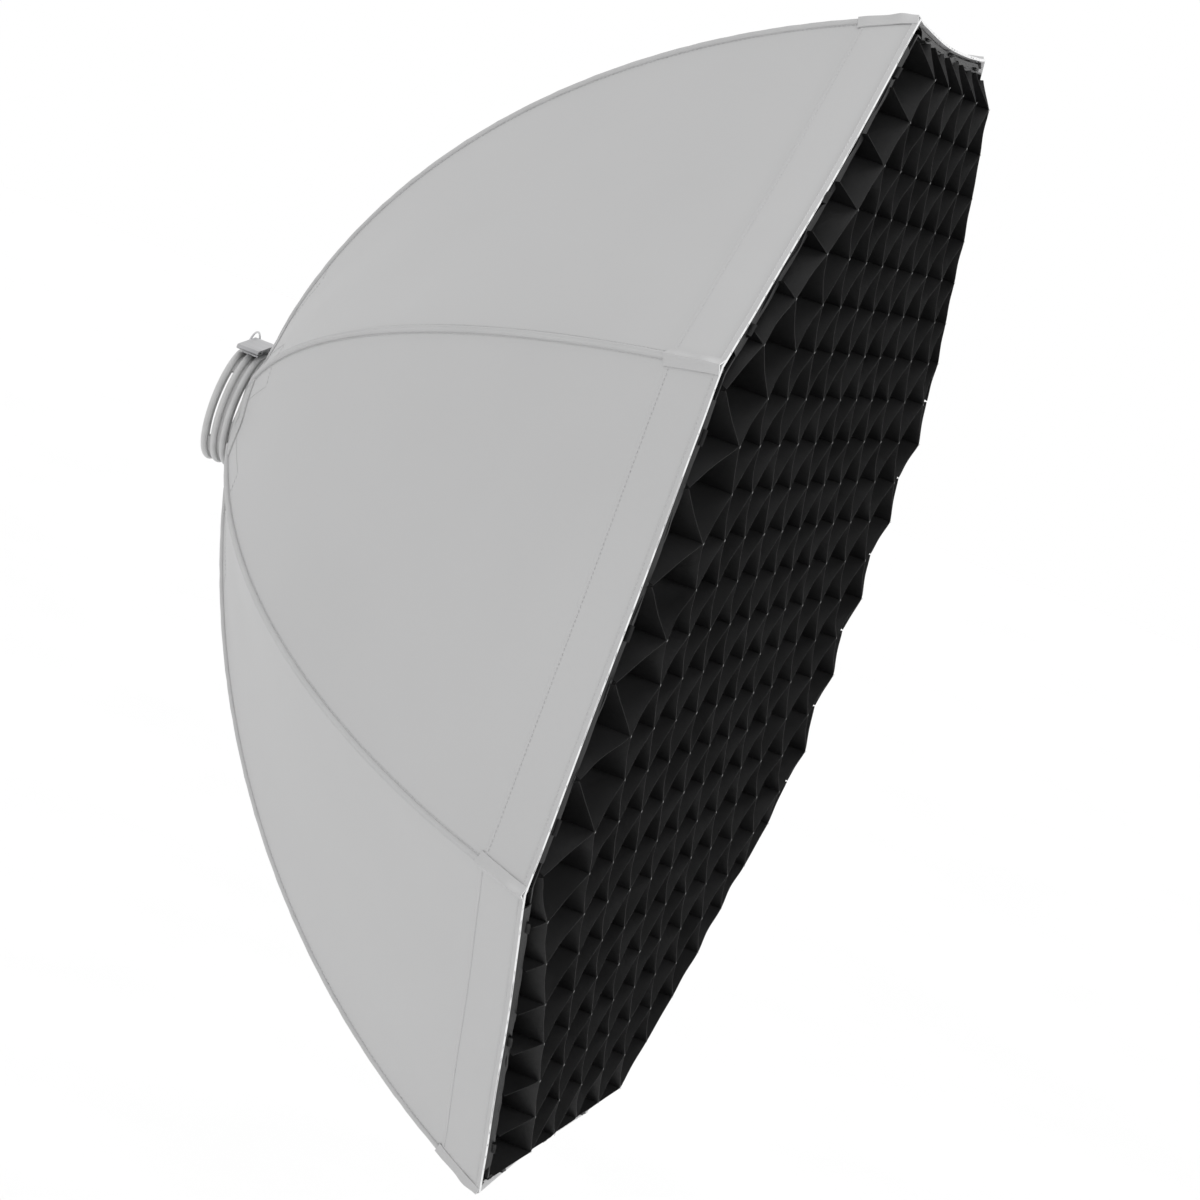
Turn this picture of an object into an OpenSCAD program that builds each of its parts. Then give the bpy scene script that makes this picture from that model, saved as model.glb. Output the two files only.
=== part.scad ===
// Octabox: an eight-sided collapsible softbox on a clamp-on speedring, with a fabric honeycomb grid.
// Millimetres. +Z is up, the light leaves along -Y, and the origin is on the collar's axis at its rear rim.

/* [Shell] */
// Distance from the axis to each front corner
front_r = 600; // [560:5:640]
// Distance from the axis to the rods where the shell ends behind
rear_r = 78; // [76:1:82]
// How far the shell's rear edge is in front of the collar's rear rim
rear_depth = 37; // [35:1:39]
// How far the lip is in front of the collar's rear rim
lip_depth = 533; // [515:1:550]
// Radius that each rod is bowed to, measured on the outside of the shell
bow_r = 888; // [860:2:920]
// Thickness of the shell's fabric with its silver lining
fabric_t = 1.6; // [1.2:0.1:2]
// Distance from the lip back to the line of stitching
lip_band = 48; // [40:1:55]

/* [Rods] */
// Diameter of a spring rod
rod_d = 5; // [4:0.5:6]
// Depth of the rod's centre below the outside of the shell
rod_inset = 6; // [6:0.5:8]
// Width of the sleeve over each rod
sleeve_w = 6; // [5:0.5:9]

/* [Diffusers] */
// How far behind the lip the front diffuser sits
diffuser_recess = 49; // [48:1:56]
// Distance across the flats of the inner baffle
baffle_w = 620; // [520:10:680]
// How far the inner baffle is in front of the collar's rear rim
baffle_depth = 300; // [280:5:320]

/* [Grid] */
// Length of a grid cell across its corners, left to right
cell_w = 98; // [90:1:110]
// Length of a grid cell across its corners, up and down
cell_h = 85; // [80:1:92]
// Depth of the grid's strips, front to back
strip_depth = 46; // [40:1:46]
// Thickness of a strip
strip_t = 1.2; // [0.8:0.1:1.6]
// How far the middle of the grid stands in front of the lip
grid_proud = 20; // [12:1:20]
// Width over which the strips slope down to the border
slope_w = 44; // [30:1:60]

/* [Collar] */
// Bore of the collar, which clamps the light's head
collar_bore = 100; // [98:0.5:102]
// Outside diameter over the ribs
collar_od = 115; // [114:0.5:116]
// Length of the collar along its axis
collar_len = 40; // [40:0.5:41]
// Number of ribs
rib_count = 4; // [4]
// Width of each rib
rib_w = 6; // [5.5:0.1:6.5]
// Width of the gap that the latch pulls together
split_w = 6; // [5:0.5:7]

/* [Latch] */
// Length of the lever across the collar
lever_len = 48.5; // [44:0.5:50]
// Width of the lever along the collar's axis
lever_w = 22; // [20:1:22]
// How far round from the top the latch sits
latch_turn = 8; // [0:1:12]

/* [Hidden] */
SIDES = 8;
STEP = 360 / SIDES;
HALF = STEP / 2;
FLAT = cos(HALF);
EPS = 0.01;
GAP = 0.3;
$fn = 96;

// The rods' bow: a circle through the rear edge and the lip, in the plane of a rod.
chord = norm([front_r - rear_r, lip_depth - rear_depth]);
drop = sqrt(bow_r * bow_r - chord * chord / 4);
bow_c = [
    (front_r + rear_r) / 2 - drop * (lip_depth - rear_depth) / chord,
    -(lip_depth + rear_depth) / 2 - drop * (front_r - rear_r) / chord
];
function bow_y(bow, r) = bow_c[1] + sqrt(bow * bow - pow(r - bow_c[0], 2));
function bow_x(bow, y) = bow_c[0] + sqrt(bow * bow - pow(y - bow_c[1], 2));
function bow_angle(bow, r) = asin((r - bow_c[0]) / bow);
ARC_STEPS = 28;

lining_bow = bow_r - fabric_t;
rod_bow = bow_r - rod_inset;
rod_rear_r = 75;
rod_tip_r = bow_x(rod_bow, -lip_depth + 8);
diffuser_y = -lip_depth + diffuser_recess;
grid_front_y = -lip_depth - grid_proud;
grid_rear_y = grid_front_y + strip_depth;
border_front_y = -lip_depth - 1;
border_bow = bow_r - 14;
border_t = 2;
flap_bow = bow_r - 3.4;
flap_t = 1.2;
tape_t = 0.9;

wall_r = collar_od / 2 - 4.5;
rib_pitch = 9.5;
rib_first = 3.5;
slot_w = 3;
slot_sweep = 76;
hub_r = 60;
hub_fit = 0.1;
hub_y = -collar_len;
hub_end_y = -58;
ring_r = 72;
ring_rear_y = -41.4;
ring_front_y = -55;
socket_len = 17;
socket_d = 8.4;

latch_y = -13;
deck_z = wall_r + 1;
pin_at = [21, 58.3];
pin_d = 3;
bail_pin_at = [12.14, 56.74];
bail_c = [29.24, 46.28];
bail_r = 20.04;
bail_from = -27.6;
bail_to = 148.5;
wire_d = 2;
bail_half = 13.2;
lever_t = 1.5;
lever_z = 61.2;
cheek_t = 1.2;
split_at = 25;
keeper_from = 40.5;
keeper_sweep = 15;
bail_room = 0.5;

PANELS = [for (k = [1:SIDES]) str("shell_panel_", k)];
RODS = [for (k = [1:SIDES]) str("rod_", k)];
SLEEVES = [for (k = [1:SIDES]) str("seam_sleeve_", k)];

// ---- shared shapes -------------------------------------------------------------------------------

// Turns a flat outline drawn as (distance from the axis, y) into a bar lying across the X axis.
module across(width) {
    translate([0, 0, -width / 2])
        linear_extrude(height = width)
            children();
}

// Ring about the Y axis, from an outline drawn as (radius, y). Angles run from +X towards +Z.
module about_y(sweep = 360, from = 0) {
    rotate([0, -from, 0])
        rotate([90, 0, 0])
            rotate_extrude(angle = sweep)
                mirror([0, 1])
                    children();
}

// Outline of a band that follows the bow between two radii, seen from the side of a flat gore.
// Its front end is cut square to the Y axis.
module gore_outline(bow_out, bow_in, r_from, r_to) {
    dr_out = (r_to - r_from) / ARC_STEPS;
    dr_in = (bow_x(bow_in, bow_y(bow_out, r_to)) - r_from) / ARC_STEPS;
    polygon(concat(
        [for (i = [0:ARC_STEPS]) let (r = r_from + dr_out * i) [r * FLAT, bow_y(bow_out, r)]],
        [for (i = [ARC_STEPS:-1:0]) let (r = r_from + dr_in * i) [r * FLAT, bow_y(bow_in, r)]]
    ));
}

// Wedge between two neighbouring rods, pulled in from both rods by the margin.
module gore_wedge(margin) {
    reach = front_r * 1.2;
    half = reach * tan(HALF);
    inset = margin / sin(HALF);
    rotate([90, 0, 0])
        linear_extrude(height = 2000, center = true)
            polygon([[inset, 0], [inset + reach, half], [inset + reach, -half]]);
}

// One flat-across band of a gore, on the +X side.
module gore_band(bow_out, bow_in, r_from, r_to, margin = 0.3) {
    intersection() {
        across(2.2 * front_r * tan(HALF)) gore_outline(bow_out, bow_in, r_from, r_to);
        gore_wedge(margin);
    }
}

// Puts a child, built on the +X side, at gore number k, counted from the right side upwards.
module at_gore(k) {
    rotate([0, -(k - 1) * STEP, 0]) children();
}

// Puts a child, built in the XY plane, at the seam above gore number k.
module at_seam(k) {
    rotate([0, -(k - 0.5) * STEP, 0]) children();
}

// Bar that follows the bow in the XY plane: section children are drawn about the origin.
module bowed_bar(bow, r_from, r_to) {
    from = bow_angle(bow, r_from);
    to = bow_angle(bow, r_to);
    translate([bow_c[0], bow_c[1], 0])
        rotate([0, 0, 90 - to])
            rotate_extrude(angle = to - from, $fn = 360)
                translate([bow, 0]) children();
}

// Direction and place of the rod's rear end.
module at_rod_rear() {
    turn = bow_angle(rod_bow, rod_rear_r);
    translate([rod_rear_r, bow_y(rod_bow, rod_rear_r), 0])
        rotate([0, 0, -turn])
            rotate([0, 90, 0])
                children();
}

// The latch's own frame: X across the collar, Z out from it.
module at_latch() {
    rotate([0, -latch_turn, 0]) children();
}

// Flat eight-sided sheet facing -Y, its front at y.
module octagon_sheet(flat_r, y, thickness) {
    translate([0, y + thickness, 0])
        rotate([90, 0, 0])
            linear_extrude(height = thickness)
                rotate(HALF) circle(r = flat_r / FLAT, $fn = SIDES);
}

// Flat eight-sided frame facing -Y.
module octagon_frame(flat_r, width, y, thickness) {
    translate([0, y + thickness, 0])
        rotate([90, 0, 0])
            linear_extrude(height = thickness)
                rotate(HALF)
                    difference() {
                        circle(r = flat_r / FLAT, $fn = SIDES);
                        circle(r = (flat_r - width) / FLAT, $fn = SIDES);
                    }
}

// ---- collar --------------------------------------------------------------------------------------

// Wall and ribs of the collar, drawn as (radius, y).
module collar_outline() {
    round_r = rib_w * 0.6;
    translate([collar_bore / 2, -collar_len])
        square([wall_r - collar_bore / 2, collar_len]);
    for (i = [0:rib_count - 1])
        translate([wall_r - EPS, -rib_first - i * rib_pitch])
            intersection() {
                translate([0, -rib_w / 2]) square([5, rib_w]);
                translate([collar_od / 2 - wall_r - round_r, 0]) circle(r = round_r);
            }
}

// One split ring, with gaps between ribs 1 and 2, between ribs 3 and 4, and in front of rib 4.
module collar_band() {
    color([0.72, 0.72, 0.72])
        difference() {
            about_y() collar_outline();
            // the gaps, on both sides
            for (side = [0, 180], at = [0.5, 2.5, 3.58])
                about_y(slot_sweep, side - slot_sweep / 2)
                    translate([collar_bore / 2 - 1, -rib_first - at * rib_pitch - slot_w / 2])
                        square([wall_r - collar_bore / 2 + 2, slot_w]);
            // split that the latch closes
            at_latch()
                rotate([0, split_at, 0])
                    translate([-split_w / 2, -collar_len - 1, 40]) cube([split_w, collar_len + 2, 25]);
            // flat under the latch
            at_latch()
                translate([-22, latch_y - bail_half - 2.2, deck_z]) cube([44, 2 * bail_half + 6, 8]);
        }
}

module turning_hub() {
    color([0.55, 0.55, 0.56])
        about_y()
            union() {
                translate([collar_bore / 2 + 1, hub_end_y])
                    square([hub_r - collar_bore / 2 - 1, hub_y - hub_end_y]);
                translate([hub_r - EPS, ring_rear_y + GAP])
                    square([4, hub_y - ring_rear_y - GAP]);
            }
}

module retaining_ring() {
    color([0.5, 0.5, 0.52])
        about_y()
            translate([hub_r + GAP / 2, hub_end_y]) square([5, ring_front_y - hub_end_y - GAP]);
}

module latch_base() {
    ear_t = 1.5;
    plate_w = 16;
    ear_y = plate_w / 2 - ear_t / 2;
    color([0.6, 0.6, 0.61])
        at_latch()
            difference() {
                union() {
                    translate([-17, latch_y - plate_w / 2, deck_z]) cube([26, plate_w, 1.5]);
                    for (side = [-1, 1])
                        translate([2, latch_y + side * ear_y - ear_t / 2, deck_z])
                            cube([pin_at[0] - 2, ear_t, pin_at[1] - deck_z]);
                    for (side = [-1, 1])
                        translate([pin_at[0], latch_y + side * ear_y + ear_t / 2, pin_at[1]])
                            rotate([90, 0, 0]) cylinder(h = ear_t, d = 5.2);
                }
                translate([pin_at[0], latch_y + lever_w, pin_at[1]])
                    rotate([90, 0, 0]) cylinder(h = 2 * lever_w, d = pin_d + 0.02);
            }
}

// The keeper's foot lies on the ribs and its hook stands between the bail's legs, behind the crossbar.
module latch_keeper() {
    keeper_w = 16;
    foot_t = 1.5;
    hook_t = 1.6;
    hook_x = bail_tip()[0] - wire_d / 2 - bail_room - hook_t;
    seat_r = collar_od / 2 + 0.05;
    color([0.6, 0.6, 0.61])
        at_latch()
            difference() {
                union() {
                    about_y(keeper_sweep, keeper_from)
                        translate([seat_r, latch_y - keeper_w / 2]) square([foot_t, keeper_w]);
                    translate([hook_x, latch_y - keeper_w / 2, bail_tip()[1] - 4])
                        cube([hook_t, keeper_w, 9]);
                }
                about_y()
                    translate([0, latch_y - keeper_w]) square([seat_r, 2 * keeper_w]);
            }
}

module latch_pin() {
    color([0.75, 0.75, 0.76])
        at_latch()
            translate([pin_at[0], latch_y + lever_w / 2 + 0.6, pin_at[1]])
                rotate([90, 0, 0]) cylinder(h = lever_w + 1.2, d = pin_d);
}

module latch_rivets() {
    color([0.8, 0.8, 0.8])
        at_latch()
            for (x = [-13, -1], side = [-1, 1])
                translate([x, latch_y + side * 4.5, deck_z + 1.5])
                    intersection() {
                        translate([0, 0, -0.9]) sphere(r = 2.1, $fn = 32);
                        translate([-3, -3, 0]) cube(6);
                    }
}

// ---- latch lever and bail ------------------------------------------------------------------------

module latch_lever() {
    roll_d = 4.4;
    cheek_top = lever_z + lever_t / 2;
    color([0.66, 0.66, 0.67])
        at_latch()
            difference() {
                union() {
                    translate([pin_at[0] - lever_len, latch_y - lever_w / 2, lever_z])
                        cube([lever_len + 2, lever_w, lever_t]);
                    translate([pin_at[0] - lever_len, latch_y + lever_w / 2, lever_z + lever_t - roll_d / 2])
                        rotate([90, 0, 0]) cylinder(h = lever_w, d = roll_d);
                    for (side = [-1, 1])
                        translate([0, latch_y + side * (lever_w / 2 - cheek_t / 2) + cheek_t / 2, 0])
                            rotate([90, 0, 0])
                                linear_extrude(height = cheek_t)
                                    polygon([
                                        [6, cheek_top], [9, 54.9], [15, 54.9], [23, 56.4], [23, cheek_top]
                                    ]);
                }
                translate([pin_at[0], latch_y + lever_w, pin_at[1]])
                    rotate([90, 0, 0]) cylinder(h = 2 * lever_w, d = pin_d + 0.1);
                translate([bail_pin_at[0], latch_y + lever_w, bail_pin_at[1]])
                    rotate([90, 0, 0]) cylinder(h = 2 * lever_w, d = wire_d + 0.1);
            }
}

module latch_bail() {
    stub = bail_half - lever_w / 2 + cheek_t + 0.6;
    color([0.8, 0.8, 0.8])
        at_latch() {
            for (side = [-1, 1]) {
                translate([bail_c[0], latch_y + side * bail_half, bail_c[1]])
                    rotate([90, 0, 0])
                        rotate([0, 0, bail_from])
                            rotate_extrude(angle = bail_to - bail_from)
                                translate([bail_r, 0]) circle(d = wire_d, $fn = 24);
                translate([bail_pin_at[0], latch_y + side * bail_half, bail_pin_at[1]]) {
                    sphere(d = wire_d, $fn = 24);
                    rotate([side * 90, 0, 0]) cylinder(h = stub, d = wire_d, $fn = 24);
                }
                translate([bail_tip()[0], latch_y + side * bail_half, bail_tip()[1]])
                    sphere(d = wire_d, $fn = 24);
            }
            translate([bail_tip()[0], latch_y + bail_half, bail_tip()[1]])
                rotate([90, 0, 0]) cylinder(h = 2 * bail_half, d = wire_d, $fn = 24);
        }
}
function bail_tip() = [bail_c[0] + bail_r * cos(bail_from), bail_c[1] + bail_r * sin(bail_from)];

// ---- speedring and rods --------------------------------------------------------------------------

module speedring() {
    color([0.42, 0.42, 0.43])
        difference() {
            about_y()
                translate([hub_r + hub_fit, ring_front_y])
                    square([ring_r - hub_r - hub_fit, ring_rear_y - ring_front_y]);
            for (k = [1:SIDES])
                at_seam(k) at_rod_rear()
                    translate([0, 0, -10]) cylinder(h = 40, d = socket_d + 0.02);
        }
}

module rod_sockets() {
    color([0.3, 0.3, 0.32])
        for (k = [1:SIDES])
            at_seam(k) at_rod_rear()
                difference() {
                    translate([0, 0, -8]) cylinder(h = socket_len + 8, d = socket_d);
                    translate([0, 0, -0.2]) cylinder(h = socket_len + 10, d = rod_d + 0.5);
                    // flush with the ring's bore
                    translate([-20, -20, -40]) cube([40, 40, 34]);
                }
}

module socket_screws() {
    color([0.7, 0.7, 0.7])
        for (k = [1:SIDES])
            rotate([0, -k * STEP, 0])
                translate([ring_r - 3, ring_front_y, 0])
                    rotate([90, 0, 0]) cylinder(h = 1.6, d = 5, $fn = 48);
}

module rod() {
    color([0.35, 0.36, 0.38])
        bowed_bar(rod_bow, rod_rear_r, rod_tip_r) circle(d = rod_d, $fn = 24);
}

module rod_tips() {
    color([0.15, 0.15, 0.15])
        for (k = [1:SIDES])
            at_seam(k)
                bowed_bar(rod_bow, rod_tip_r + 0.1, rod_tip_r + 2.8) circle(d = rod_d + 1.2, $fn = 24);
}

// ---- shell ---------------------------------------------------------------------------------------

module shell_panel() {
    color([0.74, 0.74, 0.74])
        gore_band(bow_r, lining_bow, rear_r, front_r);
}

// The sleeve over a rod stops at the line of stitching behind the lip.
module seam_sleeve() {
    end_r = bow_x(bow_r, -lip_depth + lip_band);
    color([0.7, 0.7, 0.7])
        bowed_bar(bow_r, rear_r + 2, end_r)
            translate([GAP, -sleeve_w / 2]) square([1.4, sleeve_w]);
}

module tip_pockets() {
    start_r = bow_x(bow_r, -lip_depth + lip_band);
    color([0.72, 0.72, 0.72])
        for (k = [1:SIDES])
            at_seam(k)
                bowed_bar(bow_r, start_r + 2, front_r - 1)
                    translate([GAP, -9]) square([2, 18]);
}

module lip_binding() {
    color([0.7, 0.7, 0.7])
        octagon_frame(front_r * FLAT + 0.5, 5, -lip_depth - 3, 2.4);
}

module loop_tape() {
    tape_bow = lining_bow - 0.4;
    color([0.12, 0.12, 0.12])
        for (k = [1:SIDES])
            at_gore(k)
                gore_band(tape_bow, tape_bow - tape_t, bow_x(bow_r, -lip_depth + 30), front_r - 3, 16);
}

module rear_cuff() {
    color([0.7, 0.7, 0.7])
        for (k = [1:SIDES])
            at_gore(k)
                gore_band(bow_r + 2, bow_r + 0.4, rear_r, rear_r + 30, 4);
}

// ---- diffusers -----------------------------------------------------------------------------------

module front_diffuser() {
    color([0.93, 0.93, 0.92])
        octagon_sheet(520, diffuser_y, 1);
}

module diffuser_tape() {
    color([0.85, 0.85, 0.85])
        octagon_frame(520, 22, diffuser_y + 1, 1.2);
}

module inner_baffle() {
    color([0.93, 0.93, 0.92])
        octagon_sheet(baffle_w / 2, -baffle_depth, 1);
}

// Elastic straps from the baffle's corners out to the rods.
module baffle_straps() {
    corner_r = baffle_w / 2 / FLAT;
    rod_r = bow_x(rod_bow - rod_d / 2 - 1, -baffle_depth);
    color([0.2, 0.2, 0.2])
        for (k = [1:SIDES])
            at_seam(k)
                translate([corner_r + 0.1, -baffle_depth, -6]) cube([rod_r - corner_r - 5.9, 1.2, 12]);
}

module baffle_clips() {
    rod_r = bow_x(rod_bow - rod_d / 2 - 1, -baffle_depth);
    color([0.1, 0.1, 0.1])
        for (k = [1:SIDES])
            at_seam(k)
                translate([rod_r - 5.7, -baffle_depth - 3, -7]) cube([3.6, 7, 14]);
}

// ---- grid ----------------------------------------------------------------------------------------

half_w = cell_w / 2;
half_h = cell_h / 2;
strip_angle = atan2(half_h, half_w);
strip_gap = 2 * half_w * half_h / norm([half_w, half_h]);
cross_step = norm([half_w, half_h]);
rows = ceil(front_r / strip_gap);

module grid_border() {
    rear_flat = bow_x(border_bow, grid_rear_y) * FLAT;
    front_flat = bow_x(border_bow, border_front_y) * FLAT;
    color([0.07, 0.07, 0.07])
        union()
            for (k = [1:SIDES])
                at_gore(k)
                    intersection() {
                        across(1.2 * front_r)
                            polygon([
                                [rear_flat, grid_rear_y],
                                [front_flat, border_front_y],
                                [front_flat - border_t, border_front_y],
                                [rear_flat - border_t, grid_rear_y]
                            ]);
                        gore_wedge(0);
                    }
}

module between_y(front, rear) {
    translate([-700, front, -700]) cube([1400, rear - front, 1400]);
}

// Flaps that fold out from the border on to the loop tape inside the lip.
module grid_flaps() {
    color([0.07, 0.07, 0.07])
        for (k = [1:SIDES])
            at_gore(k) {
                intersection() {
                    gore_band(flap_bow, flap_bow - flap_t, front_r - 45, front_r + 5, 18);
                    between_y(-lip_depth + 3, -lip_depth + 27);
                }
                intersection() {
                    gore_band(flap_bow, border_bow + 0.4, front_r - 45, front_r + 5, 18);
                    between_y(-lip_depth + 3, -lip_depth + 3 + flap_t);
                }
            }
}

// Solid octagon that the strips are cut to. Its sides follow the inside of the border or stand straight,
// and its front slopes down to the border.
module strip_room(front_y) {
    room_bow = border_bow - border_t - 0.4;
    difference() {
        octagon_sheet(600, grid_front_y, strip_depth);
        for (k = [1:SIDES])
            at_gore(k)
                across(1300)
                    polygon([
                        [bow_x(room_bow, grid_rear_y) * FLAT, grid_rear_y + EPS],
                        [bow_x(room_bow, front_y) * FLAT, border_front_y],
                        [bow_x(room_bow, front_y) * FLAT - slope_w, grid_front_y - EPS],
                        [700, grid_front_y - EPS],
                        [700, grid_rear_y + EPS]
                    ]);
    }
}

// One family of strips, half-lapped: notches are cut from the given side to the middle of the depth.
module strips(turn, notch_from, room_front_y) {
    notch_w = (strip_t + 2 * GAP) / sin(2 * strip_angle);
    intersection() {
        rotate([0, -turn, 0])
            for (i = [-rows:rows])
                translate([0, 0, i * strip_gap])
                    difference() {
                        translate([-front_r, grid_front_y, -strip_t / 2])
                            cube([2 * front_r, strip_depth, strip_t]);
                        for (j = [-2 * rows:2 * rows])
                            if (abs(notch_x(sign(turn) * i, j)) < front_r)
                                translate([notch_x(sign(turn) * i, j) - notch_w / 2, notch_from, -strip_t])
                                    cube([notch_w, strip_depth / 2 + 0.3, 2 * strip_t]);
                    }
        strip_room(room_front_y);
    }
}
// Place along a strip, counted from the middle, where strip j of the other family crosses strip i.
// In the falling family, the strips' own numbers count the other way.
function notch_x(i, j) = j * cross_step - i * cross_step * cos(2 * strip_angle);

module grid_strips_rising() {
    color([0.06, 0.06, 0.06]) strips(strip_angle, grid_front_y - 0.2, grid_rear_y);
}

module grid_strips_falling() {
    color([0.06, 0.06, 0.06]) strips(-strip_angle, grid_front_y + strip_depth / 2 - 0.1, border_front_y);
}

// Square tabs sewn on the border's front edge at the middle and the ends of each side.
module grid_tabs() {
    tab_w = 14;
    color([0.09, 0.09, 0.09])
        for (k = [1:SIDES], z = [-170, 0, 170])
            at_gore(k)
                intersection() {
                    gore_band(border_bow + 1.3, border_bow + 0.1, front_r - 20, front_r + 8, 0);
                    translate([0, border_front_y - 4, z - tab_w / 2]) cube([700, 7.5, tab_w]);
                }
}

// ---- the assembly --------------------------------------------------------------------------------

collar_band();
turning_hub();
retaining_ring();
latch_base();
latch_keeper();
latch_pin();
latch_rivets();
latch_lever();
latch_bail();
speedring();
rod_sockets();
socket_screws();
rod_tips();
tip_pockets();
lip_binding();
loop_tape();
rear_cuff();
front_diffuser();
diffuser_tape();
inner_baffle();
baffle_straps();
baffle_clips();
grid_border();
grid_flaps();
grid_strips_rising();
grid_strips_falling();
grid_tabs();
for (k = [1:SIDES]) {
    at_gore(k) shell_panel();
    at_seam(k) rod();
    at_seam(k) seam_sleeve();
}
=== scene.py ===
import math

import bpy
import numpy as np
from mathutils import Matrix, Quaternion, Vector


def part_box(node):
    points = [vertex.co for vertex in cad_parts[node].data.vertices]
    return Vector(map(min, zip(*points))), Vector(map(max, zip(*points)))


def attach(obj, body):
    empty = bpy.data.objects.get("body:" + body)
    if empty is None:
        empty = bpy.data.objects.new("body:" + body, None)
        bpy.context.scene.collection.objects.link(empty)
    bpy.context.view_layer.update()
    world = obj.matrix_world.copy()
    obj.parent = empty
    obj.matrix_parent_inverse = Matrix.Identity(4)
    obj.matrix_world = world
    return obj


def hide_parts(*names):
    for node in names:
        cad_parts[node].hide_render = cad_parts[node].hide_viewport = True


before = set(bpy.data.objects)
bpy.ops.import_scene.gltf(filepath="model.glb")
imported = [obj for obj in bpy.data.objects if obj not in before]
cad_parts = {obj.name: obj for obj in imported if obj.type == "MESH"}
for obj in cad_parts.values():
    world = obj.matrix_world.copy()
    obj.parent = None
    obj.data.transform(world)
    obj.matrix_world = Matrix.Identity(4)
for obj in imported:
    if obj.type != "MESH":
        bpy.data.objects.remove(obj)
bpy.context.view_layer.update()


# ---- Collar -----------------------------------------------------------------------------------------
# Split clamp ring that grips the light's head, moulded in filled nylon with four ribs round it and
# long slots between them. The mould leaves a satin grey skin, slightly mottled and finely grained.
def mottled(name, low, high, roughness, patch=30.0, grain=1400.0, bump=0.06, metallic=0.0, stretch=(1, 1, 1)):
    """Two close tones in soft patches, a roughness that follows them, and a fine grain in the bump."""
    made = bpy.data.materials.new(name)
    made.use_nodes = True
    nodes, join = made.node_tree.nodes, made.node_tree.links.new
    shader = nodes["Principled BSDF"]
    shader.inputs["Metallic"].default_value = metallic
    place = nodes.new("ShaderNodeTexCoord")
    turned = nodes.new("ShaderNodeMapping")
    turned.inputs["Scale"].default_value = stretch
    join(place.outputs["Object"], turned.inputs["Vector"])
    cloud = nodes.new("ShaderNodeTexNoise")
    cloud.inputs["Scale"].default_value = patch
    cloud.inputs["Detail"].default_value = 5
    join(turned.outputs["Vector"], cloud.inputs["Vector"])
    tone = nodes.new("ShaderNodeValToRGB")
    tone.color_ramp.elements[0].position, tone.color_ramp.elements[1].position = 0.35, 0.65
    tone.color_ramp.elements[0].color, tone.color_ramp.elements[1].color = (*low, 1), (*high, 1)
    join(cloud.outputs["Fac"], tone.inputs["Fac"])
    join(tone.outputs["Color"], shader.inputs["Base Color"])
    gloss = nodes.new("ShaderNodeMapRange")
    gloss.inputs["To Min"].default_value, gloss.inputs["To Max"].default_value = roughness
    join(cloud.outputs["Fac"], gloss.inputs["Value"])
    join(gloss.outputs["Result"], shader.inputs["Roughness"])
    fine = nodes.new("ShaderNodeTexNoise")
    fine.inputs["Scale"].default_value = grain
    fine.inputs["Detail"].default_value = 3
    join(turned.outputs["Vector"], fine.inputs["Vector"])
    raised = nodes.new("ShaderNodeBump")
    raised.inputs["Strength"].default_value = bump
    raised.inputs["Distance"].default_value = 0.0004
    join(fine.outputs["Fac"], raised.inputs["Height"])
    join(raised.outputs["Normal"], shader.inputs["Normal"])
    return made


def finish_nodes(material, *names):
    """Gives these CAD nodes the material."""
    for name in names:
        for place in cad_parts[name].material_slots:
            place.material = material


collar_plastic = mottled("collar_plastic", (0.51, 0.51, 0.51), (0.56, 0.56, 0.56), (0.34, 0.5), patch=60)
finish_nodes(collar_plastic, "collar_band")

# ---- Hub and speedring ------------------------------------------------------------------------------
# The hub is turned from aluminium bar and pressed into the collar; the speedring is a die casting that
# turns on it, held by a turned ring. Turning leaves fine rings, and the casting is powder-coated.
turned_aluminium = mottled("turned_aluminium", (0.30, 0.30, 0.31), (0.40, 0.40, 0.41), (0.28, 0.42), patch=22,
                           grain=2600, bump=0.1, metallic=1.0, stretch=(0.2, 6, 0.2))
powder_coat = mottled("powder_coat", (0.16, 0.16, 0.17), (0.22, 0.22, 0.23), (0.45, 0.6), patch=45, grain=900,
                      bump=0.16)
finish_nodes(turned_aluminium, "turning_hub", "retaining_ring")
finish_nodes(powder_coat, "speedring")

# ---- Draw latch -------------------------------------------------------------------------------------
# Lever, base and keeper are pressed from steel sheet and plated a satin silver-grey; the pin, rivets,
# bail and the speedring's screws are drawn wire and turned steel, brighter and smoother.
latch_plate = mottled("latch_plate", (0.36, 0.36, 0.37), (0.46, 0.46, 0.47), (0.26, 0.4), patch=90,
                      grain=2200, bump=0.05, metallic=0.75, stretch=(1, 0.25, 1))
bright_wire = mottled("bright_wire", (0.50, 0.50, 0.51), (0.60, 0.60, 0.61), (0.18, 0.3), patch=120,
                      grain=2600, bump=0.04, metallic=1.0)
finish_nodes(latch_plate, "latch_base", "latch_keeper", "latch_lever")
finish_nodes(bright_wire, "latch_pin", "latch_rivets", "latch_bail", "socket_screws")

# ---- Rods and their fittings ------------------------------------------------------------------------
# Eight 5 mm spring-steel rods, ground and oiled, pushed into moulded sockets in the speedring; a
# moulded cap on each tip keeps it from wearing through its pocket. The baffle's clips are moulded too.
spring_steel = mottled("spring_steel", (0.20, 0.21, 0.23), (0.30, 0.31, 0.33), (0.22, 0.38), patch=35,
                       grain=2400, bump=0.05, metallic=1.0)
black_moulding = mottled("black_moulding", (0.018, 0.018, 0.018), (0.032, 0.032, 0.032), (0.38, 0.55),
                         patch=70, grain=1100, bump=0.12)
finish_nodes(spring_steel, *[f"rod_{k}" for k in range(1, 9)])
finish_nodes(black_moulding, "rod_sockets", "rod_tips", "baffle_clips")

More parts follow.
